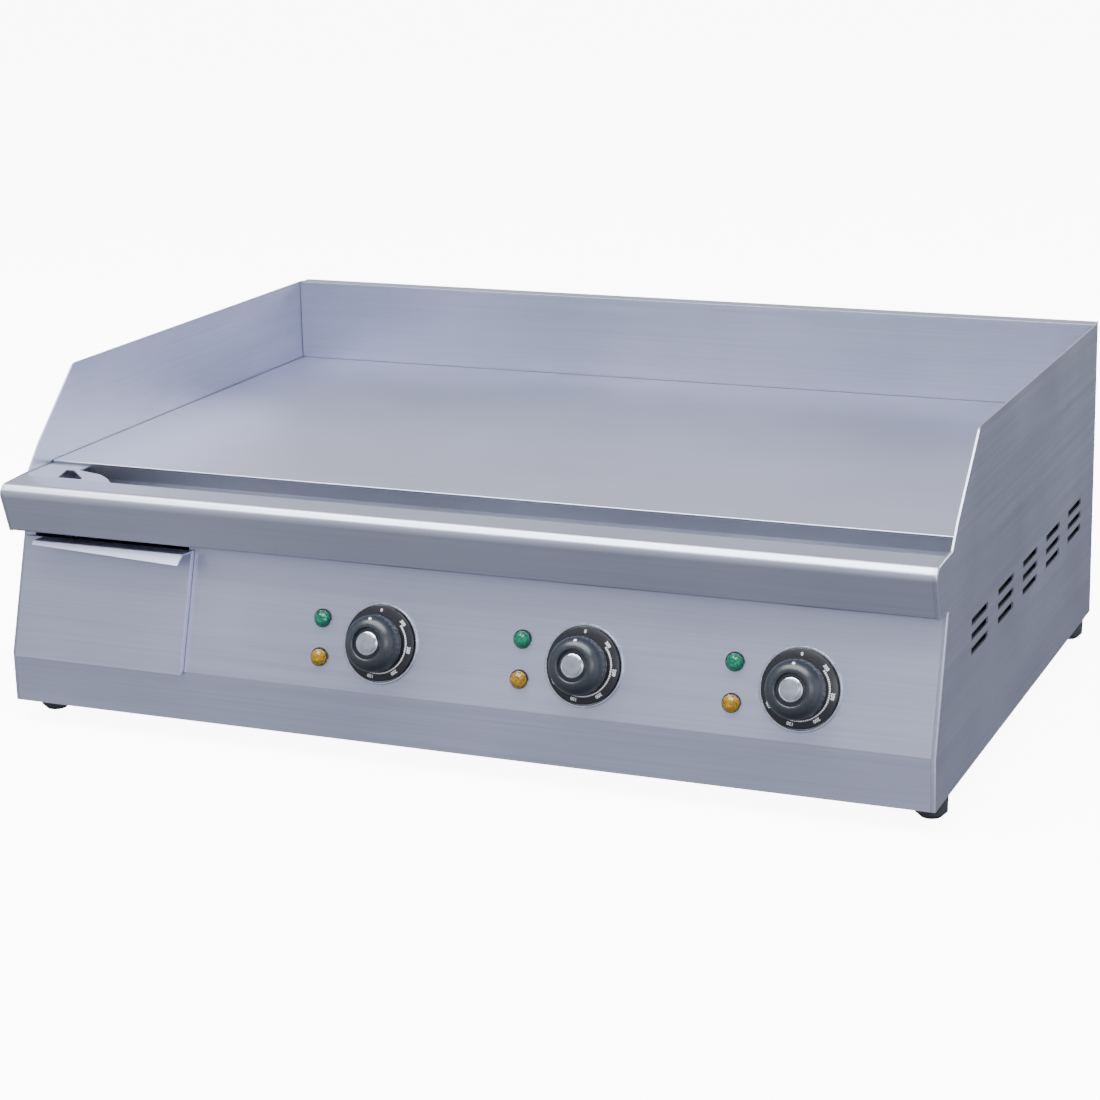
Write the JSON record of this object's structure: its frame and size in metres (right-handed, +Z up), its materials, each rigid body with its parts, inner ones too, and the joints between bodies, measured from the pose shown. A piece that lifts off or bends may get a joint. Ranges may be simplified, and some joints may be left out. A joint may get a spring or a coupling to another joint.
{
  "type": "flat top griddle",
  "caption": "Countertop electric flat top griddle with splash guards, grease trough and pull-out grease drawer, rotary thermostat knobs and indicator lamps.",
  "frame": {"origin": "middle of the overall footprint at the underside of the feet", "axes": "+X to the user's right along the front, +Y to the back, +Z up"},
  "size_m": [0.76, 0.5542, 0.2715],
  "materials": {
    "bezel_chrome": "satin",
    "brushed_stainless": "fine straight brushed grain",
    "bulb_copper": "drawn copper",
    "cap_chrome": "polished",
    "element_sheath": "heat tinted sheath",
    "foot_rubber": "moulded",
    "gland_nylon": "moulded nylon",
    "knob_plastic": "satin moulded",
    "lamp_barrel": "moulded",
    "lens_amber": "clear tinted, faceted",
    "lens_green": "clear tinted, faceted",
    "mill_steel": "mill finish sheet",
    "mineral_blanket": "matted fibre",
    "plate_steel": "ground and polished plate",
    "spindle_steel": "turned",
    "terminal_ceramic": "unglazed",
    "thermostat_case": "moulded phenolic"
  },
  "bodies": {
    "housing": {"back_panel": "brushed_stainless", "back_splash": "brushed_stainless", "base_tray": "mill_steel", "cable_gland": "gland_nylon", "drain_cover": "brushed_stainless", "drain_spout": "mill_steel", "drawer_guide_left": "mill_steel", "drawer_guide_right": "mill_steel", "element_clamp_back": "mill_steel", "element_clamp_front": "mill_steel", "foot_back_left": "foot_rubber", "foot_back_right": "foot_rubber", "foot_front_left": "foot_rubber", "foot_front_right": "foot_rubber", "front_nose_rail": "brushed_stainless", "front_panel": "brushed_stainless", "grease_trough": "brushed_stainless", "griddle_plate": "plate_steel", "heat_shield": "mill_steel", "heating_element_1": "element_sheath", "heating_element_2": "element_sheath", "heating_element_3": "element_sheath", "insulation_blanket": "mineral_blanket", "lamp_body_amber_1": "lamp_barrel", "lamp_body_amber_2": "lamp_barrel", "lamp_body_amber_3": "lamp_barrel", "lamp_body_green_1": "lamp_barrel", "lamp_body_green_2": "lamp_barrel", "lamp_body_green_3": "lamp_barrel", "lamp_lens_amber_1": "lens_amber", "lamp_lens_amber_2": "lens_amber", "lamp_lens_amber_3": "lens_amber", "lamp_lens_green_1": "lens_green", "lamp_lens_green_2": "lens_green", "lamp_lens_green_3": "lens_green", "side_panel_left": "brushed_stainless", "side_panel_right": "brushed_stainless", "skirt_bezel_1": "bezel_chrome", "skirt_bezel_2": "bezel_chrome", "skirt_bezel_3": "bezel_chrome", "terminal_block": "terminal_ceramic", "thermostat_1": "thermostat_case", "thermostat_2": "thermostat_case", "thermostat_3": "thermostat_case", "thermostat_bulb_1": "bulb_copper", "thermostat_bulb_2": "bulb_copper", "thermostat_bulb_3": "bulb_copper", "trough_end_left": "brushed_stainless", "trough_end_right": "brushed_stainless"},
    "drawer": {"drawer_front": "brushed_stainless", "drawer_pan": "mill_steel"},
    "knob_1_turn": {"knob_1": "knob_plastic", "knob_cap_1": "cap_chrome", "thermostat_shaft_1": "spindle_steel"},
    "knob_2_turn": {"knob_2": "knob_plastic", "knob_cap_2": "cap_chrome", "thermostat_shaft_2": "spindle_steel"},
    "knob_3_turn": {"knob_3": "knob_plastic", "knob_cap_3": "cap_chrome", "thermostat_shaft_3": "spindle_steel"}
  },
  "joints": [
    {"name": "knob_1_turn", "type": "hinge", "parent": "housing", "child": "knob_1_turn", "pos_m": [-0.055, -0.24771, 0.0941], "axis": [0, 0.9583, -0.2857], "range_deg": [0, 300]},
    {"name": "knob_2_turn", "type": "hinge", "parent": "housing", "child": "knob_2_turn", "pos_m": [0.1114, -0.24771, 0.0941], "axis": [0, 0.9583, -0.2857], "range_deg": [0, 300]},
    {"name": "knob_3_turn", "type": "hinge", "parent": "housing", "child": "knob_3_turn", "pos_m": [0.2778, -0.24771, 0.0941], "axis": [0, 0.9583, -0.2857], "range_deg": [0, 300]},
    {"name": "drawer_slide", "type": "slide", "parent": "housing", "child": "drawer", "axis": [0, -1, 0], "range_m": [0, 0.2]}
  ]
}
